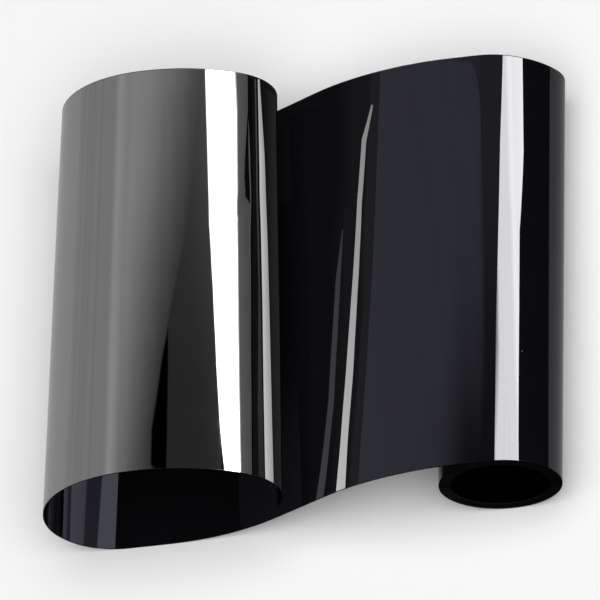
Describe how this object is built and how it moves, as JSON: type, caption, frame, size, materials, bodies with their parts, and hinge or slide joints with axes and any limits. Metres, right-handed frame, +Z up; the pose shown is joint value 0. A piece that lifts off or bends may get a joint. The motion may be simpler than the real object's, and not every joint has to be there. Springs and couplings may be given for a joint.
{
  "type": "roll of sign vinyl",
  "caption": "Loose coreless roll of glossy black sign vinyl on a silver-grey release liner, lying partly unrolled with its free end standing in an open curl.",
  "frame": {"origin": "middle of the part's length and width, on the table that it lies on", "axes": "+X from the open curl towards the roll, +Y along the roll away from the pictured end, +Z up"},
  "size_m": [0.3682, 0.305, 0.1329],
  "materials": {
    "face": "high gloss black vinyl film",
    "liner": "mirror-smooth silver-grey release liner"
  },
  "bodies": {
    "base": {"base_liner": "liner", "base_face": "face", "span_liner": "liner", "span_face": "face"},
    "flap": {"flap_liner": "liner", "flap_face": "face"},
    "wrap": {"wrap_liner": "liner", "wrap_face": "face"},
    "winding": {"winding_liner": "liner", "winding_face": "face", "inner_liner": "liner", "inner_face": "face"}
  },
  "joints": [
    {"name": "curl_lift", "type": "hinge", "parent": "base", "child": "flap", "pos_m": [-0.18414, -0.1525, 0.05462], "axis": [-0.0496, -0.9986, 0.0161], "range_deg": [0, 60]},
    {"name": "wind_in", "type": "slide", "parent": "base", "child": "wrap", "axis": [-1, 0, 0], "range_m": [0, 0.05], "deforming": ["span_liner", "span_face"]},
    {"name": "winding_turn", "type": "hinge", "parent": "wrap", "child": "winding", "pos_m": [0.13321, 0, 0.0425], "axis": [0, 1, 0], "range_deg": [0, 70]}
  ],
  "couplings": [
    {"joint": "winding_turn", "follows": "wind_in", "rad_per_m": 23.6}
  ]
}
